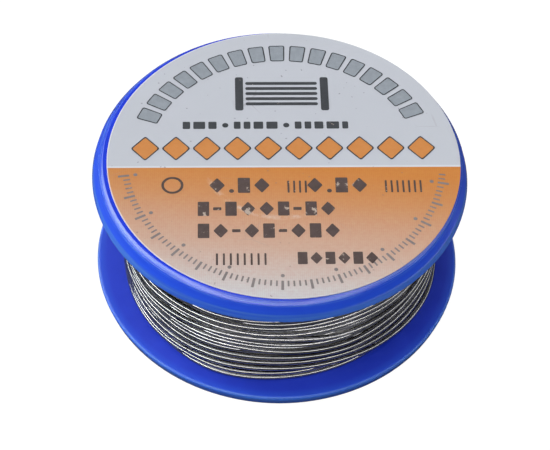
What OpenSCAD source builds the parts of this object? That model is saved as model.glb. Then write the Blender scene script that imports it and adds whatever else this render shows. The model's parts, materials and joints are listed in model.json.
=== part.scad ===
// Small reel of flux-cored solder wire.
// Two moulded halves plug together at the hub: the lower half carries the hub
// tube, the upper half carries a short keyed collar that snaps over the tube's
// end. The wire starts through a small hole in the lower flange, is wound in
// layers between the flanges, and ends as a cut tail on the last layer. A round
// paper label is stuck on the upper flange and closes the top of the bore.
//
// All sizes are in millimetres. The origin is at the centre of the lower
// flange's outer face, +Z runs up the spindle axis, and +X is the reading
// direction of the label.

/* [Spool] */
// Outside diameter of both flanges
flange_d = 50; // [48:0.5:54]
// Height over the outer faces of the flanges
spool_h = 22.4; // [20:0.2:26]
// Thickness of each flange
flange_t = 3; // [2.6:0.1:3.2]
// Diameter of the spindle bore
bore_d = 19; // [16:0.5:19.5]
// Wall of the hub tube
hub_wall = 1.2; // [1:0.1:1.5]

/* [Rim] */
// Width from the edge of the flat outer face to the rim
rim_w = 1.5; // [1.3:0.1:1.8]
// Height of the sloping rim above the flat outer face
rim_slope_h = 1.5; // [1.3:0.05:1.6]
// Rounding of the rim where it meets the inner face
rim_round = 0.4; // [0.2:0.05:0.5]

/* [Hub joint] */
// Depth of the socket in the upper flange that takes the tube's end
socket_depth = 1.8; // [1.2:0.1:1.9]
// Diameter of the opening in the upper flange, under the label
top_hole_d = 19.8; // [19.6:0.1:20.2]
// Length of the collar below the upper flange
collar_h = 5; // [4:0.5:7]
// Wall of the collar
collar_wall = 1; // [0.8:0.1:1.2]
// Number of keys that stop the halves from turning
key_count = 3; // [2:1:4]
// Width of each key
key_w = 3; // [2:0.5:4]
// Height of each key
key_h = 2; // [1.5:0.5:2.5]
// Height of the snap bead round the tube
bead_h = 0.2; // [0.1:0.05:0.3]

/* [Solder wire] */
// Diameter of the wire
wire_d = 0.7; // [0.5:0.1:0.8]
// Outside diameter of the wound wire
winding_d = 43.3; // [38:0.1:44]
// Diameter of each flux core inside the wire
core_d = 0.16; // [0.1:0.02:0.2]
// Angle of the free end's start, from the reading direction
free_start = 62; // [40:2:80]
// Angle that the free end sweeps round the winding
free_sweep = 64; // [30:2:90]
// Height of the free end's start above the base
free_z = 9.2; // [8:0.2:11]
// Climb of the free end
free_tilt = 6; // [2:1:8]
// Length of the start tail that lies in the groove
tail_len = 6; // [4:0.5:7]

/* [Label] */
// Diameter of the paper label
label_d = 46.8; // [44:0.2:47]
// Thickness of the paper
label_t = 0.1; // [0.08:0.01:0.2]
// How far off centre the label is stuck
label_shift = 0.44; // [0:0.02:0.6]

/* [Hidden] */
$fn = 96;

flange_r = flange_d / 2;
face_r = flange_r - rim_w;
bore_r = bore_d / 2;
hub_r = bore_r + hub_wall;
collar_r = hub_r + collar_wall;
winding_r = winding_d / 2;
inner_low = flange_t;
inner_high = spool_h - flange_t;
tube_top = inner_high + socket_depth;
// creases of the rim, measured from the flat outer face
crease1 = [face_r + 0.43 * rim_w, 0.43 * rim_slope_h];
crease2 = [flange_r - 0.19 * rim_w, rim_slope_h];
// chamfer at the mouth of the bore
mouth = 0.4;
// snap bead, inside the collar
bead_z = inner_high - 1.6;
// start hole and groove of the wire
start_r = hub_r + 0.75;
start_hole_r = wire_d / 2 + 0.25;
start_ang = 200;
groove_d = wire_d + 0.35;
groove_w = wire_d + 0.5;
tail_z = wire_d / 2 + 0.15;
bend_r = 0.9;
groove_end = start_r + bend_r + tail_len + 0.6;
// free end: centreline radius, sunk a little between the turns below it
free_r = winding_r + wire_d / 2 - 0.15;
// flux cores: pitch circle inside the wire
core_pcd_r = 0.16;
// ejector marks on the lower outer face
mark_r = 2;
mark_depth = 0.12;

blue = [0.08, 0.20, 0.78];
paper = [0.83, 0.80, 0.80];
tin = [0.66, 0.67, 0.68];
rosin = [0.82, 0.62, 0.25];

// section of one flange, outer face at the bottom, from hole radius r0 outwards
module flange_section(r0) {
    polygon([[r0, 0], [face_r, 0], crease1, crease2,
             [flange_r, flange_t - rim_round],
             [flange_r - rim_round, flange_t], [r0, flange_t]]);
    translate([flange_r - rim_round, flange_t - rim_round]) circle(r = rim_round);
}

// keys stand at equal angles; pass the radial span and the height span
module keys(ra, rb, za, zb, w) {
    for (i = [0 : key_count - 1])
        rotate([0, 0, i * 360 / key_count + 30])
            intersection() {
                translate([ra - 1, -w / 2, za]) cube([rb - ra + 2, w, zb - za]);
                difference() {
                    translate([0, 0, za - 1]) cylinder(r = rb, h = zb - za + 2);
                    translate([0, 0, za - 2]) cylinder(r = ra, h = zb - za + 4);
                }
            }
}

// ring section of the snap bead, on a wall of radius r
module bead_section(r) {
    polygon([[r - 0.3, bead_z - 0.6], [r, bead_z - 0.6], [r + bead_h, bead_z - 0.25],
             [r + bead_h, bead_z + 0.25], [r, bead_z + 0.6], [r - 0.3, bead_z + 0.6]]);
}

// lower flange with the hub tube, its snap bead and its keys
module lower_half() {
    color(blue)
    difference() {
        union() {
            rotate_extrude() {
                difference() {
                    union() {
                        flange_section(bore_r);
                        translate([bore_r, flange_t - 0.5]) square([hub_wall, tube_top - flange_t + 0.5]);
                        bead_section(hub_r);
                    }
                    // chamfer at the bore's mouth
                    polygon([[bore_r - 1, -1], [bore_r + mouth + 1, -1], [bore_r - 1, mouth + 1]]);
                }
            }
            keys(hub_r - 0.2, collar_r, inner_high - collar_h, inner_high - collar_h + key_h, key_w);
        }
        // wire start: hole through the flange and groove in its outer face
        rotate([0, 0, start_ang]) {
            translate([start_r, 0, -1]) cylinder(r = start_hole_r, h = flange_t + 2, $fn = 48);
            translate([start_r, -groove_w / 2, -1]) cube([groove_end - start_r, groove_w, groove_d + 1]);
            translate([groove_end, 0, -1]) cylinder(r = groove_w / 2, h = groove_d + 1, $fn = 48);
        }
        // ejector marks
        for (a = [20, 110, 245, 335])
            rotate([0, 0, a]) translate([17, 0, -1]) cylinder(r = mark_r, h = 1 + mark_depth, $fn = 48);
    }
}

// upper flange with the socket for the tube's end and the keyed collar
module upper_half() {
    color(blue)
    difference() {
        rotate_extrude() {
            difference() {
                union() {
                    translate([0, spool_h]) mirror([0, 1]) flange_section(top_hole_d / 2);
                    translate([hub_r, inner_high - collar_h]) square([collar_wall, collar_h + 0.5]);
                }
                // socket for the end of the tube
                translate([0, inner_high - collar_h - 1]) square([hub_r, collar_h + 1 + socket_depth]);
                bead_section(hub_r);
            }
        }
        keys(hub_r - 0.5, collar_r + 0.5, inner_high - collar_h - 1, inner_high - collar_h + key_h, key_w);
    }
}

// round paper label, stuck a little off centre
module face_label() {
    color(paper)
    translate([label_shift, 0, spool_h]) cylinder(r = label_d / 2, h = label_t);
}

// the free end's own arc, also its seat in the winding
module free_arc(section_r) {
    translate([0, 0, free_z]) rotate([0, 0, free_start]) rotate([free_tilt, 0, 0])
        rotate_extrude(angle = free_sweep)
            translate([free_r, 0]) circle(r = section_r, $fn = 32);
}

// the wound layers of wire, between the flanges and round hub and collar
module solder_winding() {
    color(tin)
    difference() {
        rotate_extrude() {
            difference() {
                translate([hub_r, inner_low]) square([winding_r - hub_r, inner_high - inner_low]);
                translate([hub_r - 1, inner_high - collar_h]) square([collar_wall + 1, collar_h + 1]);
            }
        }
        free_arc(wire_d / 2);
    }
}

// start of the wire: down through the flange, bent, and laid in the groove
module solder_start_tail() {
    color(tin)
    rotate([0, 0, start_ang]) {
        translate([start_r, 0, tail_z + bend_r])
            cylinder(r = wire_d / 2, h = inner_low - tail_z - bend_r, $fn = 32);
        translate([start_r + bend_r, 0, tail_z + bend_r]) rotate([90, 0, 0])
            rotate([0, 0, 180]) rotate_extrude(angle = 90)
                translate([bend_r, 0]) circle(r = wire_d / 2, $fn = 32);
        translate([start_r + bend_r, 0, tail_z]) rotate([0, 90, 0])
            cylinder(r = wire_d / 2, h = tail_len, $fn = 32);
    }
}

// three flux cores, as arcs that run inside the free end
module cores() {
    translate([0, 0, free_z]) rotate([0, 0, free_start]) rotate([free_tilt, 0, 0])
        rotate_extrude(angle = free_sweep)
            for (k = [0 : 2])
                translate([free_r + core_pcd_r * cos(90 + 120 * k), core_pcd_r * sin(90 + 120 * k)])
                    circle(r = core_d / 2, $fn = 16);
}

// free end of the wire: cut square, with the flux cores open at the cut
module solder_free_end() {
    color(tin)
    difference() {
        free_arc(wire_d / 2);
        cores();
    }
}

module flux_cores() {
    color(rosin) cores();
}

lower_half();
upper_half();
face_label();
solder_winding();
solder_start_tail();
solder_free_end();
flux_cores();
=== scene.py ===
import json
import math

import bmesh
import bpy
import numpy as np
from mathutils import Matrix, Vector

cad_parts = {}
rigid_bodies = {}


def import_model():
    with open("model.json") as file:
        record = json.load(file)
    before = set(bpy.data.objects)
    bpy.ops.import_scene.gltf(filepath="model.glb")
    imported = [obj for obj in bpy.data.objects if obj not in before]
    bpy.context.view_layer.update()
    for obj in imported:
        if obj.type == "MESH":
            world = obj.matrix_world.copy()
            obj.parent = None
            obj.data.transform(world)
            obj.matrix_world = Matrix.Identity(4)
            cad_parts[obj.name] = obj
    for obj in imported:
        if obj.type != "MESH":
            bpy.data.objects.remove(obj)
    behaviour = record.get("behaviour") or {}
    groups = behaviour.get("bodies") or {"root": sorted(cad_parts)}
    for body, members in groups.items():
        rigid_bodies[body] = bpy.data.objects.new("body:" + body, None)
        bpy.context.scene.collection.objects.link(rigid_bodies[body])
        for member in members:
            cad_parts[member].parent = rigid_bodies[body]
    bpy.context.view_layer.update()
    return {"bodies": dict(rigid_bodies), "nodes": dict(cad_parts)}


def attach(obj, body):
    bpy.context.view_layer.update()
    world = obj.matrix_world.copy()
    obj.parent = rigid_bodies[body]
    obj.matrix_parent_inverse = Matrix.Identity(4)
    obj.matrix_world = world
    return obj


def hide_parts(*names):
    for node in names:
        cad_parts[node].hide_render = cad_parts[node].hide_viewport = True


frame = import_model()

MM = 0.001
FLANGE_R = 25.0
TOP_Z = 22.4

# ---------------------------------------------------------------- camera
scene = bpy.context.scene


def make_camera():
    """Looks down at 48.4 degrees from 0.27 m, with the lens that gives the picture's slight perspective."""
    f, elev, roll = 2027.1, math.radians(48.367), math.radians(-2.195)
    tx, ty, dist = 280.49, 159.0, 10.7404 * FLANGE_R * MM
    ce, se = math.cos(elev), math.sin(elev)
    right, up, fwd = Vector((1, 0, 0)), Vector((0, se, ce)), Vector((0, ce, -se))
    cr, sr = math.cos(roll), math.sin(roll)
    r2 = right * cr - up * sr
    u2 = right * sr + up * cr
    base = Matrix((r2, u2, fwd))
    t = Vector(((tx - 275) / f, -(ty - 225) / f, 1)).normalized()
    z = Vector((0, 0, 1))
    turn = Matrix.Rotation(z.angle(t), 3, z.cross(t))
    m = turn @ base
    cam = bpy.data.objects.new("camera", bpy.data.cameras.new("camera"))
    scene.collection.objects.link(cam)
    cam.data.sensor_width = 36
    cam.data.lens = f / 550 * 36
    cam.data.clip_start, cam.data.clip_end = 0.01, 10
    rot = Matrix((m[0], m[1], -m[2])).transposed().to_4x4()
    cam.matrix_world = Matrix.Translation((0, -dist * ce, dist * se + TOP_Z * MM)) @ rot
    scene.camera = cam
    return cam


camera = make_camera()
BODY = next(iter(frame["bodies"]))


# ---------------------------------------------------------------- the wire
# Angles here are in degrees from the front (-Y), positive towards +X; lengths are in mm.
WIRE_D = 0.70
LOW, HIGH = 3.35, 19.05          # centreline next to the lower and the upper flange
STEP = 3                         # degrees between the outer layer's samples
N_TURN = 360 // STEP
FRONT = [-70, -60, -50, -40, -30, -20, -10, 0, 10, 20, 30, 40, 50, 60, 70]

# Outer layer, from the upper flange down: each turn's height over the front, and how far it lies
# below the layer's surface (0 is on the surface, 45 is pressed 0.45 mm in between its neighbours).
OUTER = [
    ([19.05] * 15, [0] * 15),
    ([18.3] * 15, [0] * 15),
    ([17.55] * 15, [0] * 15),
    ([16.8] * 15, [0] * 15),
    ([16.05] * 15, [0] * 15),
    ([15.3] * 15, [0] * 15),
    ([14.0, 14.1, 14.2, 14.3, 14.4, 14.5, 14.65, 14.7, 14.5, 14.5, 14.6, 14.4, 14.0, 13.9, 13.9], [35, 35, 35, 35, 30, 20, 0, 0, 0, 0, 0, 0, 0, 0, 0]),
    ([12.6, 12.8, 13.05, 13.55, 13.7, 14.2, 13.9, 13.7, 13.8, 13.7, 13.9, 13.6, 13.1, 13.0, 13.0], [0] * 15),
    ([12.2, 12.3, 12.5, 13.1, 13.3, 13.6, 13.3, 13.0, 12.7, 12.6, 13.1, 12.7, 12.0, 12.0, 12.0], [45, 45, 45, 45, 45, 45, 45, 40, 25, 20, 0, 0, 0, 0, 0]),
    ([11.4, 11.4, 11.75, 12.7, 13.0, 13.0, 12.7, 12.35, 12.2, 12.1, 12.15, 11.6, 11.1, 11.2, 11.3], [0] * 15),
    ([10.8, 10.8, 11.1, 11.8, 12.3, 12.45, 12.3, 12.0, 11.7, 11.2, 11.35, 11.1, 10.5, 10.5, 10.5], [45, 45, 45, 45, 45, 45, 45, 45, 45, 30, 0, 0, 35, 40, 40]),
    ([10.0, 10.0, 10.3, 10.95, 11.55, 11.95, 11.9, 11.7, 11.1, 10.25, 9.85, 9.55, 9.55, 10.0, 10.1], [0] * 15),
    ([9.6, 9.7, 10.0, 10.6, 11.1, 11.5, 11.5, 11.15, 10.6, 9.95, 10.4, 10.2, 10.0, 9.8, 9.8], [60, 60, 60, 60, 55, 50, 20, 10, 10, 20, 50, 50, 50, 50, 50]),
    ([9.3, 9.4, 9.9, 10.4, 10.6, 11.15, 10.9, 10.25, 9.7, 9.5, 9.0, 9.3, 9.1, 9.2, 9.3], [60, 60, 55, 30, 0, 0, 0, 0, 0, 0, 0, 20, 45, 45, 45]),
    ([8.9, 9.1, 9.9, 9.9, 10.2, 10.6, 10.35, 9.75, 9.1, 8.95, 8.5, 8.7, 8.8, 8.8, 8.8], [0, 0, 0, 0, 0, 0, 0, 0, 0, 20, 45, 45, 45, 45, 45]),
    ([8.1, 8.25, 8.35, 8.5, 8.6, 8.8, 8.9, 9.0, 8.9, 8.3, 8.2, 8.0, 7.9, 8.0, 8.0], [0, 0, 0, 0, 0, 0, 0, 10, 40, 45, 45, 45, 45, 45, 45]),
    ([7.7, 7.8, 7.85, 7.8, 7.9, 8.2, 8.3, 8.35, 8.0, 7.4, 7.1, 7.2, 7.2, 7.4, 7.4], [62, 62, 62, 62, 60, 50, 45, 45, 45, 45, 45, 45, 45, 45, 45]),
    ([7.2, 7.35, 7.35, 7.2, 7.2, 7.65, 7.8, 7.7, 7.3, 6.2, 6.4, 6.55, 6.55, 6.8, 7.1], [10, 10, 5, 0, 0, 0, 0, 0, 10, 10, 0, 0, 0, 0, 0]),
    ([6.5, 6.65, 6.7, 6.55, 6.55, 6.95, 7.15, 7.1, 6.7, 6.3, 5.9, 5.8, 5.75, 5.9, 5.9], [0, 0, 0, 0, 10, 45, 45, 45, 45, 45, 45, 45, 45, 45, 45]),
    ([5.85, 5.95, 6.05, 5.85, 6.0, 6.5, 6.6, 6.55, 6.1, 5.75, 5.4, 5.1, 4.9, 5.1, 5.5], [0] * 15),
    ([5.2, 5.25, 5.35, 5.2, 5.6, 5.75, 5.9, 5.9, 5.5, 5.0, 4.8, 4.5, 4.15, 4.2, 4.4], [0, 0, 0, 0, 10, 45, 45, 45, 45, 45, 45, 45, 45, 45, 45]),
    ([4.55, 4.6, 4.7, 4.7, 4.85, 5.2, 5.2, 5.3, 4.9, 4.4, 4.35, 3.9, 3.35, 3.35, 3.35], [0] * 15),
    ([3.9, 3.95, 4.0, 4.0, 4.0, 3.95, 4.1, 4.1, 4.1, 3.8, 3.6, 3.6, 3.8, 3.8, 3.8], [0, 0, 0, 0, 0, 0, 0, 0, 0, 0, 40, 50, 60, 60, 60]),
    ([3.35] * 15, [30, 30, 20, 10, 0, -30, -25, -15, -15, 0, 10, 50, 75, 75, 75]),
    ([8.8, 8.95, 9.1, 9.1, 9.1, 9.55, 9.6, 9.25, 8.6, 7.9, 7.8, 8.1, 8.3, 8.9, 9.0], [0, 5, 12, 5, 0, 0, 0, -10, -10, 0, 0, 0, 0, 0, 0]),
]
# radius of the outer layer's centrelines: bulged at the front left, low at the right
SURFACE = ([-180, -120, -90, -75, -60, -50, -40, -30, -20, -10, 0, 10, 20, 30, 45, 55, 65, 75, 90, 120, 180],
           [21.2, 21.2, 21.2, 21.2, 21.55, 21.9, 22.05, 22.2, 22.25, 21.95, 21.6, 21.35, 21.15, 21.1, 21.0, 21.05, 21.15, 21.2, 21.2, 21.2, 21.2])
# how much further out the low turns lie than the high ones, at the sides
LEAN = ([-180, -120, -90, -75, -60, -50, -30, 0, 45, 55, 65, 75, 90, 120, 180],
        [0, 0, 0, -0.05, -0.1, -0.05, 0, 0, 0, -0.15, -0.4, -0.45, -0.3, 0, 0])
# thickness from the last even layer's centrelines to the surface's
COVER = ([-180, -90, -60, -20, 0, 20, 75, 180], [1.0, 1.15, 1.2, 1.1, 1.1, 1.1, 1.05, 1.0])
# free end: the arc of part.scad
FREE_R, FREE_START, FREE_SWEEP, FREE_Z, FREE_TILT = 21.85, 152, 64, 9.2, 6


def smooth(a, width):
    """Gaussian smoothing along the path, with held ends."""
    k = np.exp(-0.5 * (np.arange(-3 * width, 3 * width + 1) / width) ** 2)
    k /= k.sum()
    n = len(k) // 2
    return np.convolve(np.concatenate([np.full(n, a[0]), a, np.full(n, a[-1])]), k, "valid")


def wrapped(phi):
    return (phi + 180) % 360 - 180


def surface_r(phi, z):
    p = wrapped(phi)
    return np.interp(p, *SURFACE) + np.interp(p, *LEAN) * np.clip((z - 6) / 3, -1, 1)


def last_even_r(phi):
    p = wrapped(phi)
    return np.interp(p, *SURFACE) - np.interp(p, *COVER)


def outer_layer():
    """The last, uneven layer as (angle, r, z): the turns are pressed apart until none lies in another."""
    turns = len(OUTER)
    ang, zc, sink = [-180.0], [HIGH], [0.0]
    for t, (zs, ss) in enumerate(OUTER):
        for p, z, s in zip(FRONT, zs, ss):
            ang.append(360 * t + p)
            zc.append(z)
            sink.append(s / 100)
    last = 360 * (turns - 1)
    # the last turn but one ends low and climbs over the others round the back to the last turn's height
    for p, z, s in ((100, 3.35, 0.2), (150, 5.0, -0.6), (200, 6.2, -0.68), (250, 7.6, -0.6)):
        ang.append(last - 360 + p)
        zc.append(z)
        sink.append(s)
    for p, s in ((100, -0.3), (130, -0.62)):
        ang.append(last + p)
        zc.append(9.0 + 0.1 * (p > 100))
        sink.append(s)
    for s in range(0, FREE_SWEEP + 1, 8):
        ang.append(last + FREE_START + s)
        zc.append(FREE_Z + FREE_R * math.sin(math.radians(s)) * math.sin(math.radians(FREE_TILT)))
        sink.append(-0.65)
    order = np.argsort(ang)
    ang, zc, sink = (np.array(a)[order] for a in (ang, zc, sink))
    end = last + FREE_START + FREE_SWEEP
    u = np.arange(-180, end + 0.1, STEP)
    n = len(u)
    z = smooth(np.interp(u, ang, zc), 2)
    sk = smooth(np.interp(u, ang, sink), 2)
    r = surface_r(u, z) - sk
    free = u > last + 110
    zt, rt = z.copy(), r.copy()
    rows = -(-n // N_TURN)
    base = last_even_r(u) + 0.6
    hold = np.where(sk > 0.05, 0.02, 0.12)
    grip = np.where(sk > 0.05, 1.5, 0.5)
    hold[free], grip[free] = 0.5, 0.1
    pad = rows * N_TURN - n

    def grid(a, fill):
        return np.concatenate([a, np.full(pad, fill)]).reshape(rows, N_TURN)

    G = grid(grip, 1.0)
    for it in range(160):
        Z, R = grid(z, 99.0), grid(r, 0.0)
        dz, dr = np.zeros_like(Z), np.zeros_like(R)
        for i in range(rows):
            for j in range(i + 1, rows):
                a, b = Z[i] - Z[j], R[i] - R[j]
                d = np.sqrt(a * a + b * b) + 1e-9
                o = np.clip(WIRE_D + 0.01 - d, 0, None)
                if not o.any():
                    continue
                wi = G[i] / (G[i] + G[j])
                dz[i] += o * a / d * wi * 0.6
                dr[i] += o * b / d * wi * 0.6
                dz[j] -= o * a / d * (1 - wi) * 0.6
                dr[j] -= o * b / d * (1 - wi) * 0.6
        z = z + dz.ravel()[:n]
        r = r + dr.ravel()[:n]
        z += hold * 0.5 * (zt - z)
        r += hold * 0.5 * (rt - r)
        if it < 150:
            z[1:-1] = 0.5 * z[1:-1] + 0.25 * (z[:-2] + z[2:])
            r[1:-1] = 0.5 * r[1:-1] + 0.25 * (r[:-2] + r[2:])
        z = np.clip(z, LOW, HIGH)
        r = np.maximum(r, base)
    return u, smooth(r, 1), np.clip(smooth(z, 1), LOW, HIGH)


def even_layers():
    """The layers under it: (angle, r, z, angle step) from the start hole to where the outer layer begins."""
    pitch = 0.745
    segs = []                    # angle length, z0, z1, level0, level1
    for i in range(2):
        lo_z, hi_z = LOW, 14.05
        a, b = (lo_z, hi_z) if i == 0 else (hi_z, lo_z)
        segs.append((360 * (hi_z - lo_z) / pitch, a, b, i - 2, i - 2))
        segs.append((200, b, b, i - 2, i - 1))
    layers = 13
    for k in range(layers):
        a, b = (LOW, HIGH) if k % 2 == 0 else (HIGH, LOW)
        segs.append((360 * (HIGH - LOW) / pitch, a, b, k, k))
        if k < layers - 1:
            segs.append((200, b, b, k, k + 1))
    start = -70 + 4.5
    total = sum(s[0] for s in segs)
    turns_end = math.ceil((start + total + 150 + 180) / 360) * 360 - 180
    segs.append((turns_end - start - total, HIGH, HIGH, layers - 1, layers - 1))
    out = []
    u0 = start
    for length, z0, z1, l0, l1 in segs:
        fine = l1 >= layers - 1 and l0 >= layers - 1
        st = 5.0 if fine else 15.0
        n = max(int(round(length / st)), 1)
        for i in range(n):
            f = i / n
            g = min(f / 0.6, 1)
            out.append((u0 + length * f, l0 + (l1 - l0) * g * g * (3 - 2 * g), z0 + (z1 - z0) * f, st))
        u0 += length
    out = np.array(out)
    u, lev, z = out[:, 0], out[:, 1], out[:, 2]
    top = last_even_r(u)
    full = 12.35 + lev / (layers - 1) * (top - 12.35)
    inner = 12.35 + 0.65 * lev
    r = np.where(lev < 0, inner, full)
    first = np.clip((u - start) / 40, 0, 1)
    r = np.where(lev < -1.5, 11.45 + (11.05 - 11.45) * first, r)
    return u, r, z, out[:, 3]


def cyl(u, r, z):
    """Point of the winding; the outer layers lie a little off the spindle's axis."""
    p = np.radians(u)
    off = 0.27 * np.clip((r - 12) / 9, 0, 1)
    return np.stack([off + r * np.sin(p), -r * np.cos(p), z], -1)


def wire_path():
    """Centreline of the whole wire in mm, the number of sides of the tube at each point, and where the winding begins."""
    a = math.radians(200)
    e, t = np.array([math.cos(a), math.sin(a), 0]), np.array([-math.sin(a), math.cos(a), 0])
    k = np.array([0, 0, 1.0])
    pts = [e * r + k * 0.5 for r in np.linspace(18.35, 12.45, 13)]
    pts += [e * (12.35 - 0.9 * math.sin(b)) + k * (1.4 - 0.9 * math.cos(b)) for b in np.radians(np.arange(0, 91, 15))]
    pts += [e * 11.45 + k * z for z in (1.7, 2.1, 2.45)]
    pts += [e * 11.45 + t * 0.9 * (1 - math.cos(b)) + k * (2.45 + 0.9 * math.sin(b)) for b in np.radians(np.arange(15, 90, 15))]
    pts = [np.array(pts)]
    sides = [np.full(len(pts[0]), 12)]
    u, r, z, st = even_layers()
    pts.append(cyl(u, r, z))
    sides.append(np.where(st > 10, 6, 8))
    uo, ro, zo = outer_layer()
    # the outer layer starts on the even layers' last radius
    f = np.clip((uo - uo[0]) / 120, 0, 1)
    f = f * f * (3 - 2 * f)
    ro = ro * f + last_even_r(uo) * (1 - f)
    pts.append(cyl(uo, ro, zo))
    sides.append(np.full(len(uo), 14))
    return np.concatenate(pts), np.concatenate(sides), len(pts[0])


def tube_frames(pts, wound):
    """Sideways and upward directions at each point: level with the spindle's axis where the wire is wound."""
    tan = np.gradient(pts, axis=0)
    tan /= np.linalg.norm(tan, axis=1)[:, None]
    side = np.cross(tan, (0, 0, 1.0))
    side[wound:] /= np.linalg.norm(side[wound:], axis=1)[:, None]
    for i in range(wound - 1, -1, -1):
        v = side[i + 1] - tan[i] * side[i + 1].dot(tan[i])
        side[i] = v / np.linalg.norm(v)
    return side, np.cross(tan, side)


def tube_mesh(name, pts, sides, radius, wound):
    """Tube round a line of points, with a number of sides that may change along it, and closed ends."""
    side, up = tube_frames(pts, wound)
    verts, faces, rings = [], [], []
    count = 0
    for i, p in enumerate(pts):
        n = int(sides[i])
        a = np.arange(n) * (2 * math.pi / n)
        verts.append(p + radius * (np.cos(a)[:, None] * side[i] + np.sin(a)[:, None] * up[i]))
        rings.append((count, n))
        count += n
    for (a, n), (b, m) in zip(rings[:-1], rings[1:]):
        if n == m:
            for k in range(n):
                k2 = (k + 1) % n
                faces.append((a + k, a + k2, b + k2, b + k))
            continue
        i = j = 0
        while i < n or j < m:
            if i < n and (j == m or (i + 1) * m <= (j + 1) * n):
                faces.append((a + i % n, a + (i + 1) % n, b + j % m))
                i += 1
            else:
                faces.append((a + i % n, b + (j + 1) % m, b + j % m))
                j += 1
    a, n = rings[0]
    faces.append(tuple(a + k for k in reversed(range(n))))
    a, n = rings[-1]
    faces.append(tuple(a + k for k in range(n)))
    me = bpy.data.meshes.new(name)
    me.from_pydata((np.concatenate(verts) * MM).tolist(), [], faces)
    me.polygons.foreach_set("use_smooth", [True] * (len(faces) - 2) + [False] * 2)
    me.update()
    o = bpy.data.objects.new(name, me)
    scene.collection.objects.link(o)
    return o


def flux_ends(ends):
    """The three flux cores where the wire is cut, a hair proud of the cut."""
    bm = bmesh.new()
    for p, t in ends:
        t = Vector(t).normalized()
        side = t.cross(Vector((0, 0, 1))).normalized()
        up = t.cross(side)
        for k in range(3):
            a = math.radians(90 + 120 * k)
            c = Vector(p) + side * (0.16 * math.cos(a)) + up * (0.16 * math.sin(a))
            rings = []
            for rad, out in ((0.08, -0.2), (0.08, 0.0), (0.055, 0.012)):
                rings.append([bm.verts.new((c + t * out + side * (rad * math.cos(b)) + up * (rad * math.sin(b))) * MM)
                              for b in (math.radians(30 * q) for q in range(12))])
            tip = bm.verts.new((c + t * 0.018) * MM)
            for lo, hi in zip(rings[:-1], rings[1:]):
                for q in range(12):
                    bm.faces.new((lo[q], lo[(q + 1) % 12], hi[(q + 1) % 12], hi[q]))
            for q in range(12):
                bm.faces.new((rings[-1][q], rings[-1][(q + 1) % 12], tip))
            bm.faces.new(list(reversed(rings[0])))
    bmesh.ops.recalc_face_normals(bm, faces=bm.faces)
    me = bpy.data.meshes.new("flux_ends")
    bm.to_mesh(me)
    bm.free()
    for p in me.polygons:
        p.use_smooth = True
    o = bpy.data.objects.new("flux_ends", me)
    scene.collection.objects.link(o)
    return o


def make_wire():
    pts, sides, wound = wire_path()
    wire = tube_mesh("solder_wire", pts, sides, WIRE_D / 2, wound)
    ends = [(pts[0], pts[0] - pts[1]), (pts[-1], pts[-1] - pts[-2])]
    flux = flux_ends(ends)
    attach(wire, BODY)
    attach(flux, BODY)
    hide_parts("solder_winding", "solder_start_tail", "solder_free_end")
    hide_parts("flux_cores")
    return wire, flux


WIRE, FLUX = make_wire()


# ---------------------------------------------------------------- node helpers
class Tree:
    """Short hand for building the node tree of a material or a world."""

    def __init__(self, owner):
        owner.use_nodes = True
        self.t = owner.node_tree
        self.t.nodes.clear()

    def node(self, kind, **settings):
        n = self.t.nodes.new(kind)
        inputs = settings.pop("inputs", {})
        for k, v in settings.items():
            setattr(n, k, v)
        for k, v in inputs.items():
            self.put(n.inputs[k], v)
        return n

    def put(self, socket, value):
        if isinstance(value, bpy.types.NodeSocket):
            self.t.links.new(value, socket)
        elif isinstance(value, bpy.types.Node):
            self.t.links.new(value.outputs[0], socket)
        else:
            socket.default_value = value

    def math(self, op, a, b=0.0, c=0.0, clamp=False):
        n = self.node("ShaderNodeMath", operation=op, use_clamp=clamp)
        for i, v in enumerate((a, b, c)):
            self.put(n.inputs[i], v)
        return n.outputs[0]

    def mix(self, fac, a, b, blend="MIX"):
        n = self.node("ShaderNodeMix", data_type="RGBA", blend_type=blend)
        self.put(n.inputs[0], fac)
        self.put(n.inputs[6], a)
        self.put(n.inputs[7], b)
        return n.outputs[2]

    def noise(self, vector, scale, detail=2.0, rough=0.5, distortion=0.0):
        n = self.node("ShaderNodeTexNoise", inputs={"Scale": scale, "Detail": detail, "Roughness": rough, "Distortion": distortion})
        self.put(n.inputs["Vector"], vector)
        return n.outputs[0]

    def ramp(self, fac, stops, interpolation="LINEAR"):
        n = self.node("ShaderNodeValToRGB")
        n.color_ramp.interpolation = interpolation
        e = n.color_ramp.elements
        e[0].position, e[0].color = stops[0][0], stops[0][1]
        e[1].position, e[1].color = stops[-1][0], stops[-1][1]
        for p, c in stops[1:-1]:
            e.new(p).color = c
        self.put(n.inputs[0], fac)
        return n.outputs[0]


def grey(v):
    return (v, v, v, 1.0)


# ---------------------------------------------------------------- materials
def radial(t, x, y, cx=0.0):
    """Distance from the spindle axis in mm, from object coordinates in metres."""
    dx = t.math("SUBTRACT", x, cx * MM)
    return t.math("MULTIPLY", t.math("SQRT", t.math("ADD", t.math("MULTIPLY", dx, dx), t.math("MULTIPLY", y, y))), 1000.0)


def step(t, v, at, soft):
    """0 below at, 1 above it, over a width of soft."""
    return t.math("MULTIPLY_ADD", v, 1.0 / soft, 0.5 - at / soft, clamp=True)


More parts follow.
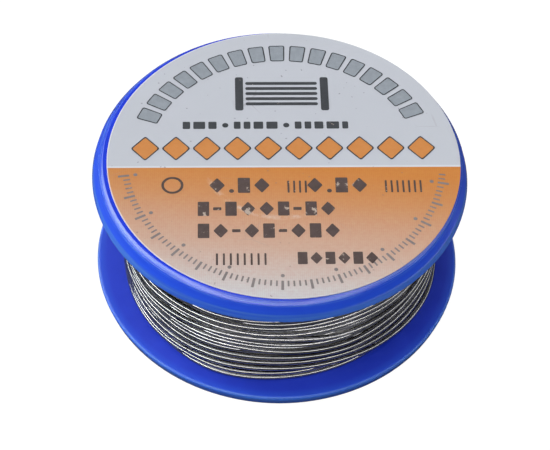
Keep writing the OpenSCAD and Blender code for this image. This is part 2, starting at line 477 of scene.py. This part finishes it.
def blue_plastic():
    """Glossy moulded polystyrene: deep blue in the body and painted paler and greener towards the thin rims (painted
    light through the thin plastic), with fine scratches and a painted highlight on the rim's ring, and a painted floor
    reflection on the lip.
    """
    m = bpy.data.materials.new("blue_plastic")
    t = Tree(m)
    out = t.node("ShaderNodeOutputMaterial")
    b = t.node("ShaderNodeBsdfPrincipled")
    t.put(out.inputs["Surface"], b)
    co = t.node("ShaderNodeTexCoord").outputs["Object"]
    x, y, z = t.node("ShaderNodeSeparateXYZ", inputs={0: co}).outputs
    r = radial(t, x, y)
    zm = t.math("MULTIPLY", z, 1000.0)
    cloud = t.ramp(t.noise(co, 260, 3), [(0.3, grey(0)), (0.7, grey(1))])
    body = t.mix(cloud, (0.009, 0.030, 0.44, 1), (0.012, 0.038, 0.49, 1))
    # paler and greener towards the rim: painted light, standing in for light shining through the thin plastic
    rim = t.mix(step(t, r, 24.3, 1.4), body, (0.016, 0.074, 0.56, 1))
    # how deep under the outer face of either flange
    deep = t.math("MINIMUM", zm, t.math("MULTIPLY_ADD", zm, -1.0, TOP_Z))
    # the ring that other reels and the bench rub on: fine scratches round it, which roughen it, and a paler colour
    # along it that is a painted highlight
    ring = t.math("MULTIPLY", step(t, r, 23.5, 0.1), t.math("SUBTRACT", 1.0, step(t, r, 24.25, 0.3)))
    ring = t.math("MULTIPLY", ring, t.math("SUBTRACT", 1.0, step(t, deep, 0.9, 0.3)))
    ang = t.math("ARCTAN2", y, x)
    polar = t.node("ShaderNodeCombineXYZ", inputs={0: t.math("MULTIPLY", ang, 1.5), 1: t.math("MULTIPLY", r, 5.0), 2: zm})
    scratch = t.ramp(t.noise(polar, 3.0, 4, 0.6), [(0.42, grey(0.0)), (0.68, grey(1))])
    scratches_and_highlight = t.math("MULTIPLY", ring, scratch)
    # the lip is painted paler: a painted reflection of the bright floor
    lip = t.math("MULTIPLY", step(t, r, 24.74, 0.06), step(t, t.noise(polar, 1.2, 3), 0.42, 0.5))
    # paler colour on the ring and the lip: painted highlight and painted floor reflection
    col = t.mix(t.math("MAXIMUM", t.math("MULTIPLY", scratches_and_highlight, 0.7), t.math("MULTIPLY", lip, 0.75)), rim, (0.050, 0.165, 0.50, 1))
    t.put(b.inputs["Base Color"], col)
    fine = t.noise(co, 1800, 4, 0.6)
    rough = t.math("MULTIPLY_ADD", fine, 0.08, 0.15)
    # the inner faces of the flanges are satin: the wire is guided along them
    inner = t.math("MULTIPLY", step(t, deep, 2.8, 0.1), step(t, r, 11.0, 0.5))
    rough = t.math("MULTIPLY_ADD", inner, 0.24, rough)
    t.put(b.inputs["Roughness"], t.math("MULTIPLY_ADD", scratches_and_highlight, 0.12, rough))
    b.inputs["IOR"].default_value = 1.5
    # the creases of the rim are moulded round: the surface turns smoothly from the flat face to the lip
    turn = t.ramp(t.math("MULTIPLY_ADD", r, 1 / 2.0, -23.2 / 2.0, clamp=True),
                  [((q - 23.2) / 2.0, grey(v / 90)) for q, v in ((23.3, 88), (23.44, 70), (23.5, 51), (23.58, 47.5), (23.8, 45), (24.0, 42.5), (24.13, 37), (24.22, 33), (24.62, 32), (24.72, 26), (24.8, 17), (24.97, 13))])
    up = t.math("MULTIPLY", turn, math.pi / 2)
    out_, rise = t.math("COSINE", up), t.math("SINE", up)
    sign = t.math("SIGN", t.math("SUBTRACT", zm, TOP_Z / 2))
    rm = t.math("MULTIPLY", r, MM)
    n = t.node("ShaderNodeCombineXYZ", inputs={0: t.math("MULTIPLY", out_, t.math("DIVIDE", x, rm)), 1: t.math("MULTIPLY", out_, t.math("DIVIDE", y, rm)), 2: t.math("MULTIPLY", rise, sign)})
    n = t.node("ShaderNodeVectorTransform", vector_type="NORMAL", convert_from="OBJECT", convert_to="WORLD", inputs={0: n})
    here = t.math("MULTIPLY", step(t, r, 23.42, 0.04), t.math("SUBTRACT", 1.0, step(t, deep, 2.5, 0.1)))
    flat = t.node("ShaderNodeNewGeometry").outputs["Normal"]
    mixed = t.node("ShaderNodeMix", data_type="VECTOR")
    t.put(mixed.inputs[0], here)
    t.put(mixed.inputs[4], flat)
    t.put(mixed.inputs[5], n)
    bump = t.node("ShaderNodeBump", inputs={"Strength": 0.05, "Distance": 0.0001})
    t.put(bump.inputs["Height"], t.math("ADD", t.noise(co, 420, 2), t.math("MULTIPLY", fine, 0.25)))
    t.put(bump.inputs["Normal"], t.node("ShaderNodeVectorMath", operation="NORMALIZE", inputs={0: mixed.outputs[1]}))
    t.put(b.inputs["Normal"], bump)
    return m


def solder_metal():
    """Drawn tin-lead wire: bright, with a patchy dull bloom, faint lines from the die, and a rougher band across the
    front turns painted paler as a painted reflection.
    """
    m = bpy.data.materials.new("solder_metal")
    t = Tree(m)
    out = t.node("ShaderNodeOutputMaterial")
    b = t.node("ShaderNodeBsdfPrincipled")
    t.put(out.inputs["Surface"], b)
    co = t.node("ShaderNodeTexCoord").outputs["Object"]
    x, y, z = t.node("ShaderNodeSeparateXYZ", inputs={0: co}).outputs
    ang = t.math("ARCTAN2", y, x)
    r = radial(t, x, y)
    along = t.node("ShaderNodeCombineXYZ", inputs={0: t.math("MULTIPLY", ang, 6.0), 1: t.math("MULTIPLY", r, 1.2), 2: t.math("MULTIPLY", z, 1200.0)})
    patch = t.ramp(t.noise(along, 1.0, 3), [(0.35, grey(0)), (0.65, grey(1))])
    lines = t.noise(t.node("ShaderNodeCombineXYZ", inputs={0: t.math("MULTIPLY", ang, 4.0), 1: t.math("MULTIPLY", r, 14.0), 2: t.math("MULTIPLY", z, 14000.0)}), 1.0, 2)
    # a band across the middle turns at the front is rougher and painted paler: a painted reflection standing in for
    # broad grey sheen
    front_sheen_band = t.math("MULTIPLY_ADD", t.math("ABSOLUTE", t.math("ADD", ang, 1.49)), -4.0, 2.6, clamp=True)
    front_sheen_band = t.math("MULTIPLY", front_sheen_band, t.math("MULTIPLY_ADD", t.math("ABSOLUTE", t.math("MULTIPLY_ADD", z, 1000.0, -11.8)), -0.8, 2.3, clamp=True))
    front_sheen_band = t.math("MULTIPLY", front_sheen_band, t.math("MULTIPLY_ADD", patch, 0.6, 0.4))
    metal = t.mix(patch, (0.28, 0.281, 0.284, 1), (0.36, 0.357, 0.358, 1))
    t.put(b.inputs["Base Color"], t.mix(front_sheen_band, metal, (0.55, 0.545, 0.545, 1)))
    b.inputs["Metallic"].default_value = 1.0
    t.put(b.inputs["Roughness"], t.math("MULTIPLY_ADD", front_sheen_band, 0.24, t.math("MULTIPLY_ADD", patch, -0.02, t.math("MULTIPLY_ADD", lines, 0.02, 0.085))))
    return m


# label print, in mm: the sheet's centre and the turn it is stuck on with
LABEL_X, LABEL_TURN, LABEL_R = 0.44, math.radians(3.2), 23.4
SPLIT = -1.53


def paper():
    """Printed label paper: cool white above, an orange screen tint fading to white below, worn over the hub's edge."""
    m = bpy.data.materials.new("label_paper")
    t = Tree(m)
    out = t.node("ShaderNodeOutputMaterial")
    b = t.node("ShaderNodeBsdfPrincipled")
    t.put(out.inputs["Surface"], b)
    co = t.node("ShaderNodeTexCoord").outputs["Object"]
    x, y, z = t.node("ShaderNodeSeparateXYZ", inputs={0: co}).outputs
    xm = t.math("MULTIPLY_ADD", x, 1000.0, -LABEL_X)
    ym = t.math("MULTIPLY", y, 1000.0)
    c, sn = math.cos(LABEL_TURN), math.sin(LABEL_TURN)
    p = t.math("ADD", t.math("MULTIPLY", xm, c), t.math("MULTIPLY", ym, sn))
    q = t.math("SUBTRACT", t.math("MULTIPLY", ym, c), t.math("MULTIPLY", xm, sn))
    r = radial(t, x, y, LABEL_X)
    fibre = t.noise(co, 900, 4, 0.6)
    # screen tint: rows of dots at 45 degrees, 0.36 mm apart, whose ink thins out towards the front edge
    k = 2 * math.pi / 0.36
    d1 = t.math("SINE", t.math("MULTIPLY", t.math("ADD", p, q), k * 0.7071))
    d2 = t.math("SINE", t.math("MULTIPLY", t.math("SUBTRACT", p, q), k * 0.7071))
    dots = t.math("MULTIPLY_ADD", t.math("MULTIPLY", d1, d2), 0.35, t.math("MULTIPLY_ADD", t.noise(co, 2600, 2), 1.2, -0.1))
    fade = t.math("MULTIPLY_ADD", t.math("ADD", q, t.math("MULTIPLY", p, 0.09)), -1 / 21.5, SPLIT / 21.5)
    tint = t.ramp(fade, [(0.0, (0.414, 0.149, 0.028, 1)), (0.14, (0.409, 0.163, 0.047, 1)), (0.27, (0.409, 0.182, 0.073, 1)), (0.45, (0.409, 0.223, 0.138, 1)),
                         (0.64, (0.409, 0.264, 0.199, 1)), (0.82, (0.405, 0.316, 0.281, 1)), (0.93, (0.405, 0.358, 0.346, 1)), (1.0, (0.395, 0.372, 0.381, 1))])
    spread = t.math("MULTIPLY_ADD", dots, 0.22, t.math("MULTIPLY_ADD", fibre, 0.10, 0.84))
    tint = t.mix(1.0, tint, t.node("ShaderNodeCombineColor", inputs={0: t.math("MULTIPLY_ADD", dots, 0.06, 0.97), 1: spread, 2: spread}), "MULTIPLY")
    white = t.mix(t.noise(co, 120, 3), (0.356, 0.364, 0.398, 1), (0.380, 0.388, 0.423, 1))
    line = t.math("MULTIPLY", step(t, q, SPLIT, 0.06), t.math("SUBTRACT", 1.0, step(t, q, SPLIT + 0.28, 0.08)))
    white = t.mix(t.math("MULTIPLY", line, 0.45), white, (0.56, 0.58, 0.60, 1))
    col = t.mix(step(t, q, SPLIT, 0.08), tint, white)
    # worn arc over the edge of the hub's opening, at the front left
    rh = radial(t, x, y)
    ang = t.math("ARCTAN2", t.math("MULTIPLY", x, -1.0), t.math("MULTIPLY", y, -1.0))
    arc = t.math("SUBTRACT", 1.0, t.math("ABSOLUTE", t.math("MULTIPLY", t.math("SUBTRACT", rh, 10.15), 1 / 0.5)), clamp=True)
    arc = t.math("MULTIPLY", arc, t.math("MULTIPLY", step(t, ang, -0.35, 0.25), t.math("SUBTRACT", 1.0, step(t, ang, 1.15, 0.2))))
    arc = t.math("MULTIPLY", arc, t.ramp(t.noise(co, 700, 4, 0.7), [(0.42, grey(0)), (0.62, grey(1))]))
    col = t.mix(t.math("MULTIPLY", arc, 0.5), col, (0.52, 0.47, 0.42, 1))
    # handling marks: sparse, thin and pale, and a few dark specks
    v = t.node("ShaderNodeTexVoronoi", feature="DISTANCE_TO_EDGE", inputs={"Scale": 130.0, "Vector": t.node("ShaderNodeVectorMath", operation="ADD", inputs={0: co, 1: (0.013, 0.004, 0)})})
    crack = t.math("SUBTRACT", 1.0, step(t, v.outputs["Distance"], 0.006, 0.008))
    where = t.ramp(t.noise(co, 95, 2), [(0.60, grey(0)), (0.70, grey(1))])
    col = t.mix(t.math("MULTIPLY", t.math("MULTIPLY", crack, where), 0.5), col, (0.22, 0.20, 0.20, 1))
    speck = t.ramp(t.noise(co, 1500, 1), [(0.76, grey(0)), (0.79, grey(1))])
    col = t.mix(t.math("MULTIPLY", speck, 0.5), col, (0.12, 0.10, 0.10, 1))
    # the cut edge shows its white core, painted brighter towards the left and fading out on the right: the fade is
    # painted light falling from the left
    edge = t.math("MULTIPLY", step(t, r, LABEL_R - 0.12, 0.14), t.math("MULTIPLY_ADD", p, -0.03, 0.45, clamp=True))
    col = t.mix(t.math("MULTIPLY", edge, 0.75), col, (0.60, 0.60, 0.61, 1))
    t.put(b.inputs["Base Color"], col)
    t.put(b.inputs["Roughness"], t.math("MULTIPLY_ADD", fibre, 0.15, 0.42))
    b.inputs["IOR"].default_value = 1.42
    # the paper sags a little into the hub's opening and follows the flange
    sag = t.math("SUBTRACT", 1.0, t.math("ABSOLUTE", t.math("MULTIPLY", t.math("SUBTRACT", rh, 9.9), 1 / 0.9)), clamp=True)
    height = t.math("ADD", t.math("MULTIPLY", fibre, 0.12), t.math("ADD", t.math("MULTIPLY", sag, 0.35), t.math("MULTIPLY", t.noise(co, 70, 2), 1.2)))
    bump = t.node("ShaderNodeBump", inputs={"Strength": 0.35, "Distance": 0.00008})
    t.put(bump.inputs["Height"], height)
    t.put(b.inputs["Normal"], bump)
    return m


def ink(name, dark, light, wear=0.62):
    """Printing ink on the label: a little uneven, with the paper showing where it is rubbed."""
    m = bpy.data.materials.new(name)
    t = Tree(m)
    out = t.node("ShaderNodeOutputMaterial")
    b = t.node("ShaderNodeBsdfPrincipled")
    t.put(out.inputs["Surface"], b)
    co = t.node("ShaderNodeTexCoord").outputs["Object"]
    base = t.mix(t.noise(co, 1400, 3, 0.6), dark, light)
    x, y, z = t.node("ShaderNodeSeparateXYZ", inputs={0: co}).outputs
    edge = t.math("SUBTRACT", 1.0, t.math("ABSOLUTE", t.math("MULTIPLY", t.math("SUBTRACT", radial(t, x, y), 10.2), 1 / 1.3)), clamp=True)
    edge = t.math("MULTIPLY", edge, t.math("SUBTRACT", 1.0, step(t, t.math("MULTIPLY", y, 1000.0), -1.5, 2.0)))
    rub = step(t, t.math("MULTIPLY_ADD", edge, 0.12, t.noise(co, 1100, 4, 0.65)), wear, 0.06)
    t.put(b.inputs["Base Color"], t.mix(t.math("MULTIPLY", rub, 0.75), base, (0.42, 0.34, 0.28, 1)))
    t.put(b.inputs["Roughness"], t.math("MULTIPLY_ADD", t.noise(co, 900, 2), 0.2, 0.35))
    return m


def rosin():
    m = bpy.data.materials.new("flux_rosin")
    t = Tree(m)
    out = t.node("ShaderNodeOutputMaterial")
    b = t.node("ShaderNodeBsdfPrincipled")
    t.put(out.inputs["Surface"], b)
    co = t.node("ShaderNodeTexCoord").outputs["Object"]
    n = t.noise(co, 6000, 3)
    t.put(b.inputs["Base Color"], t.mix(n, (0.45, 0.20, 0.03, 1), (0.62, 0.33, 0.07, 1)))
    b.inputs["Roughness"].default_value = 0.25
    return m


BLUE, SOLDER, PAPER, ROSIN = blue_plastic(), solder_metal(), paper(), rosin()


def paint(o, mat):
    o.data.materials.clear()
    o.data.materials.append(mat)


for name, mat in (("lower_half", BLUE), ("upper_half", BLUE), ("face_label", PAPER), ("solder_winding", SOLDER),
                  ("solder_start_tail", SOLDER), ("solder_free_end", SOLDER), ("flux_cores", ROSIN)):
    paint(frame["nodes"][name], mat)
paint(WIRE, SOLDER)
paint(FLUX, ROSIN)


# ---------------------------------------------------------------- label print
def label_point(p, q, z):
    """A point given in the label's own print directions, in the shared frame, in metres."""
    c, sn = math.cos(LABEL_TURN), math.sin(LABEL_TURN)
    return ((LABEL_X + p * c - q * sn) * MM, (p * sn + q * c) * MM, z * MM)


def rounded(p0, q0, p1, q1, rad, n=4):
    """Outline of a rectangle with round corners, counterclockwise."""
    out = []
    for cx, cy, a0 in ((p1 - rad, q1 - rad, 0), (p0 + rad, q1 - rad, 90), (p0 + rad, q0 + rad, 180), (p1 - rad, q0 + rad, 270)):
        for i in range(n + 1):
            a = math.radians(a0 + 90 * i / n)
            out.append((cx + rad * math.cos(a), cy + rad * math.sin(a)))
    return out


def on_arc(points, r0, at):
    """Lay a flat outline round the label's centre: its p runs clockwise round the arc, its q outwards."""
    out = []
    for p, q in points:
        a = math.radians(at) - p / r0
        out.append(((r0 + q) * math.cos(a), (r0 + q) * math.sin(a)))
    return out


class Print:
    """Thin flat marks on the paper, one material each."""

    def __init__(self):
        self.verts, self.faces, self.slots = [], [], []

    def flat(self, outline, slot, layer=1):
        base = len(self.verts)
        area = sum(a[0] * b[1] - b[0] * a[1] for a, b in zip(outline, outline[1:] + outline[:1]))
        if area < 0:
            outline = outline[::-1]
        cp, cq = sum(o[0] for o in outline) / len(outline), sum(o[1] for o in outline) / len(outline)
        z = TOP_Z + 0.1 + 0.015 * layer
        self.verts += [label_point(p, q, z) for p, q in outline] + [label_point(cp, cq, z)]
        n = len(outline)
        self.faces += [(base + i, base + (i + 1) % n, base + n) for i in range(n)]
        self.slots += [slot] * n

    def band(self, outer, inner, slot, layer=1):
        """The strip between two outlines of the same length."""
        base, n = len(self.verts), len(outer)
        z = TOP_Z + 0.1 + 0.015 * layer
        self.verts += [label_point(p, q, z) for p, q in outer] + [label_point(p, q, z) for p, q in inner]
        self.faces += [(base + i, base + (i + 1) % n, base + n + (i + 1) % n, base + n + i) for i in range(n)]
        self.slots += [slot] * n


def circle(p, q, rad, n=20):
    return [(p + rad * math.cos(a), q + rad * math.sin(a)) for a in np.linspace(0, 2 * math.pi, n, endpoint=False)]


def diamond(p, q, rx, ry, cut=0.12, n=4):
    """Outline of a diamond with its corners a little rounded."""
    out = []
    for k in range(4):
        c = (rx * math.cos(k * math.pi / 2), ry * math.sin(k * math.pi / 2))
        lo = (rx * math.cos((k - 1) * math.pi / 2), ry * math.sin((k - 1) * math.pi / 2))
        hi = (rx * math.cos((k + 1) * math.pi / 2), ry * math.sin((k + 1) * math.pi / 2))
        s0 = (c[0] + (lo[0] - c[0]) * cut, c[1] + (lo[1] - c[1]) * cut)
        s1 = (c[0] + (hi[0] - c[0]) * cut, c[1] + (hi[1] - c[1]) * cut)
        for i in range(n + 1):
            f = i / n
            out.append(tuple(p0 + (1 - f) ** 2 * u + 2 * f * (1 - f) * v + f * f * w for p0, u, v, w in zip((p, q), s0, c, s1)))
    return out


def make_print():
    """Generic marks where the label is printed: blocks, bars, diamonds and a plain scale, and no lettering."""
    pr = Print()
    DARK, GREY, ORANGE, BROWN, FAINT = range(5)
    # arc of outlined, tinted blocks over the top
    for i in range(17):
        at = 156.5 - i * 8.15
        w, h = 2.1, 3.0
        box, hole = rounded(-w / 2, -h / 2, w / 2, h / 2, 0.3), rounded(-w / 2 + 0.15, -h / 2 + 0.15, w / 2 - 0.15, h / 2 - 0.15, 0.18)
        pr.band(on_arc(box, 19.45, at), on_arc(hole, 19.45, at), DARK, 2)
        pr.flat(on_arc(hole, 19.45, at), GREY, 1)
    # a reel seen from the side, as a plain pictogram
    for p in (-6.3, 5.3):
        pr.flat(rounded(p, 8.7, p + 1.1, 14.9, 0.3), DARK)
    for i in range(5):
        pr.flat(rounded(-4.9, 9.65 + i * 0.95, 4.9, 10.2 + i * 0.95, 0.25), DARK)
    # row of small bars with two dots
    p = -13.4
    for w in (1.0, 1.6, 1.1, 0.0, 0.9, 0.9, 1.3, 1.5, 0.0, 0.9, 0.9, 1.2, 1.7, 0.8):
        if w:
            pr.flat(rounded(p, 5.35, p + w, 6.65, 0.15), DARK)
            p += w + 0.42
        else:
            pr.flat(circle(p + 0.75, 6.0, 0.42, 16), DARK)
            p += 1.9
    # row of orange diamonds with a dark outline
    for i in range(10):
        p = -18.35 + i * 4.08
        pr.band(diamond(p, 1.85, 1.95, 2.2), diamond(p, 1.85, 1.72, 1.95), DARK, 2)
        pr.flat(diamond(p, 1.85, 1.72, 1.95), ORANGE, 1)

    def row(p, q0, q1, kinds, stroke=0.5, gap=0.55):
        """Blocks (b), open blocks (o), diamonds (d), bars (-), dots (.) and ticks (|) side by side."""
        h = q1 - q0
        for k in kinds:
            if k == "b":
                pr.flat(rounded(p, q0, p + h * 0.62, q1, 0.12), BROWN)
                p += h * 0.62
            elif k == "o":
                w = h * 0.72
                pr.band(rounded(p, q0, p + w, q1, 0.1), rounded(p + stroke, q0 + stroke, p + w - stroke, q1 - stroke, 0.05), BROWN)
                p += w
            elif k == "d":
                pr.flat(diamond(p + h * 0.4, (q0 + q1) / 2, h * 0.4, h * 0.5), BROWN)
                p += h * 0.8
            elif k == "-":
                pr.flat(rounded(p, (q0 + q1) / 2 - stroke / 2, p + h * 0.45, (q0 + q1) / 2 + stroke / 2, 0.1), BROWN)
                p += h * 0.45
            elif k == ".":
                pr.flat(circle(p + stroke * 0.6, q0 + stroke * 0.6, stroke * 0.6, 12), BROWN)
                p += stroke * 1.2
            elif k == "|":
                pr.flat(rounded(p, q0, p + 0.26, q1 - h * 0.2, 0.08), BROWN)
                p += 0.26
            else:
                p += h * 0.5
            p += gap
        return p

    # first line on the tint: a ring, then two groups
    pr.band(circle(-14.7, -4.6, 1.45, 40), circle(-14.7, -4.6, 1.1, 40), BROWN)
    row(-9.9, -5.95, -3.35, "d.bd ||||", 0.55, 0.5)
    row(2.9, -5.95, -3.35, "d.bd |||||||", 0.55, 0.5)
    row(-11.4, -9.85, -7.45, "b-bddb-bd", 0.5, 0.5)
    row(-11.4, -13.55, -11.15, "bd-db-dbd", 0.5, 0.5)
    row(-9.1, -18.0, -15.6, "||||||||", 0.3, 0.62)
    row(1.3, -17.9, -15.9, "bdbdbd", 0.4, 0.35)
    # plain scale round the front edge
    for i in range(83):
        at = 188.0 + 2.0 * i
        long = i % 5 == 0
        pr.flat(on_arc(rounded(-0.12 if not long else -0.17, -0.75, 0.12 if not long else 0.17, 0.75 if long else 0.15, 0.06), 21.3, at), FAINT)
    for i in range(0, 83, 10):
        pr.flat(on_arc(circle(0, -1.55, 0.28, 12), 21.3, 188.0 + 2.0 * i), FAINT)
    me = bpy.data.meshes.new("label_print")
    me.from_pydata(pr.verts, [], pr.faces)
    for mat in (ink("ink_dark", (0.020, 0.022, 0.026, 1), (0.045, 0.048, 0.055, 1), 0.72), ink("ink_grey", (0.16, 0.18, 0.20, 1), (0.24, 0.26, 0.29, 1), 0.74),
                ink("ink_orange", (0.40, 0.145, 0.030, 1), (0.46, 0.180, 0.045, 1), 0.76), ink("ink_brown", (0.035, 0.022, 0.020, 1), (0.085, 0.055, 0.050, 1), 0.66),
                ink("ink_faint", (0.115, 0.095, 0.095, 1), (0.19, 0.165, 0.165, 1), 0.70)):
        me.materials.append(mat)
    me.polygons.foreach_set("material_index", pr.slots)
    me.update()
    o = bpy.data.objects.new("label_print", me)
    scene.collection.objects.link(o)
    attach(o, BODY)
    return o


make_print()


# ---------------------------------------------------------------- floor and light
def make_floor():
    me = bpy.data.meshes.new("floor")
    s = 1.5
    me.from_pydata([(-s, -s, -2e-5), (s, -s, -2e-5), (s, s, -2e-5), (-s, s, -2e-5)], [], [(0, 1, 2, 3)])
    o = bpy.data.objects.new("floor", me)
    scene.collection.objects.link(o)
    m = bpy.data.materials.new("floor_white")
    t = Tree(m)
    out = t.node("ShaderNodeOutputMaterial")
    b = t.node("ShaderNodeBsdfPrincipled")
    t.put(out.inputs["Surface"], b)
    n = t.noise(t.node("ShaderNodeTexCoord").outputs["Object"], 40, 2)
    t.put(b.inputs["Base Color"], t.mix(n, (0.06, 0.06, 0.06, 1), (0.065, 0.065, 0.065, 1)))
    b.inputs["Roughness"].default_value = 0.9
    b.inputs["Emission Color"].default_value = (1, 1, 1, 1)
    # the sheet is blown out to white in the picture and throws soft light up at the sides, but the reel mirrors a dark room
    fx, fy, fz = t.node("ShaderNodeSeparateXYZ", inputs={0: t.node("ShaderNodeTexCoord").outputs["Object"]}).outputs
    far = t.ramp(t.math("MULTIPLY", radial(t, fx, fy), 0.005), [(0.0, grey(0.0)), (0.185, grey(0.0)), (0.22, grey(1.0)), (0.5, grey(1.0)), (0.6, grey(0.0)), (1.0, grey(0.0))])
    path = t.node("ShaderNodeLightPath").outputs
    lit = t.math("MULTIPLY", far, path["Is Diffuse Ray"])
    # a narrow gleam off the bench at the right, for the lip of the upper flange
    ring = t.ramp(t.math("MULTIPLY", radial(t, fx, fy), 0.005), [(0.0, grey(0.0)), (0.40, grey(0.0)), (0.44, grey(1.0)), (0.56, grey(1.0)), (0.60, grey(0.0)), (1.0, grey(0.0))])
    ring = t.math("MULTIPLY", ring, t.math("SUBTRACT", 1.0, path["Is Diffuse Ray"]))
    gleam = t.math("MULTIPLY", t.math("MULTIPLY", ring, t.math("MULTIPLY_ADD", fy, -50.0, 1.5, clamp=True)), t.math("MULTIPLY", t.math("MULTIPLY_ADD", fx, 40.0, -1.8, clamp=True), 1.5))
    sides = t.math("MAXIMUM", t.math("MULTIPLY", t.math("MULTIPLY_ADD", fx, -40.0, -1.0, clamp=True), 1.3), t.math("MULTIPLY", t.math("MULTIPLY_ADD", fx, 40.0, -1.0, clamp=True), 0.8))
    t.put(b.inputs["Emission Strength"], t.math("MAXIMUM", t.math("MULTIPLY", path["Is Camera Ray"], 0.97), t.math("MAXIMUM", t.math("MULTIPLY", lit, sides), gleam)))
    me.materials.append(m)
    return o


make_floor()


def studio_light():
    """A dim soft sky, and a long light box round the front and the left that is brightest at the back left."""
    world = bpy.data.worlds.new("studio")
    scene.world = world
    t = Tree(world)
    out = t.node("ShaderNodeOutputWorld")
    bg = t.node("ShaderNodeBackground")
    t.put(out.inputs["Surface"], bg)
    d = t.node("ShaderNodeTexCoord").outputs["Generated"]
    x, y, z = t.node("ShaderNodeSeparateXYZ", inputs={0: d}).outputs
    # turn round the horizon, as a number that grows from the right (0) by the front (0.5) to the left (1)
    side = t.math("MULTIPLY_ADD", x, -0.5, 0.5)
    # the box sinks towards the horizon as it goes round to the back
    sink = t.ramp(t.math("MULTIPLY_ADD", y, 0.5, 0.5), [(0.0, grey(0.0)), (0.28, grey(0.0)), (0.35, grey(0.065)), (0.45, grey(0.165)), (0.56, grey(0.245)),
                                                       (0.665, grey(0.345)), (0.775, grey(0.445)), (0.875, grey(0.48)), (1.0, grey(0.48))])
    strip = t.ramp(t.math("ADD", z, sink), [(0.0, grey(0.0)), (0.485, grey(0.0)), (0.515, grey(1.0)), (0.605, grey(1.0)), (0.635, grey(0.0)), (1.0, grey(0.0))])
    strip = t.math("MULTIPLY", strip, t.math("MAXIMUM", t.math("MULTIPLY_ADD", y, -1.4, 1.2, clamp=True), 0.3))
    round_ = t.ramp(side, [(0.0, grey(0.26)), (0.25, grey(0.35)), (0.5, grey(0.39)), (0.68, grey(0.46)), (0.82, grey(0.66)), (1.0, grey(0.80))])
    box = t.math("MULTIPLY", t.math("MULTIPLY", strip, round_), STRIP)
    sky = t.ramp(z, [(0.0, grey(0.0)), (0.30, grey(0.02)), (0.60, grey(1.0)), (1.0, grey(1.0))])
    over = t.math("MULTIPLY", sky, SKY)
    # round box overhead, a little to the left
    w = t.node("ShaderNodeVectorMath", operation="DOT_PRODUCT")
    t.put(w.inputs[0], d)
    w.inputs[1].default_value = Vector((-0.12, 0.05, 0.99)).normalized()
    top = t.ramp(w.outputs["Value"], [(0.0, grey(0.0)), (0.90, grey(0.0)), (0.95, grey(1.0)), (1.0, grey(1.0))])
    over = t.math("MULTIPLY_ADD", top, TOP, over)
    # window at the back left
    w = t.node("ShaderNodeVectorMath", operation="DOT_PRODUCT")
    t.put(w.inputs[0], d)
    w.inputs[1].default_value = Vector((-0.68, 0.46, 0.57)).normalized()
    pane = t.ramp(w.outputs["Value"], [(0.0, grey(0.0)), (0.955, grey(0.0)), (0.975, grey(1.0)), (1.0, grey(1.0))])
    soft = t.math("MULTIPLY_ADD", t.node("ShaderNodeLightPath").outputs["Is Diffuse Ray"], 0.99, 0.01)
    over = t.math("MULTIPLY_ADD", t.math("MULTIPLY", pane, soft), WINDOW, over)
    low = t.math("MULTIPLY", t.ramp(z, [(0.0, grey(1.0)), (0.5, grey(0.6)), (1.0, grey(0.0))]), 0.035)
    # light from under the floor, for when the reel is lifted off it
    under = t.math("MULTIPLY", t.math("MULTIPLY_ADD", z, -20.0, -1.0, clamp=True), 0.5)
    light = t.math("ADD", t.math("ADD", over, box), t.math("ADD", low, under))
    seen = t.node("ShaderNodeLightPath").outputs["Is Camera Ray"]
    t.put(bg.inputs["Strength"], t.math("ADD", t.math("MULTIPLY", light, t.math("SUBTRACT", 1.0, seen)), seen))
    # the light from the front is a little warm, and the daylight from the left cool
    front = t.math("MULTIPLY_ADD", y, -0.9, 0.1, clamp=True)
    tone = t.mix(front, (0.97, 0.985, 1.0, 1), (1.0, 0.985, 0.985, 1))
    tone = t.mix(t.math("MULTIPLY_ADD", side, 3.0, -1.9, clamp=True), tone, (0.94, 1.01, 1.02, 1))
    t.put(bg.inputs["Color"], t.mix(seen, tone, (1, 1, 1, 1)))
    return world


STRIP, SKY, TOP, WINDOW = 18.5, 0.14, 2.75, 10.5
studio_light()
scene.view_settings.view_transform = "Standard"
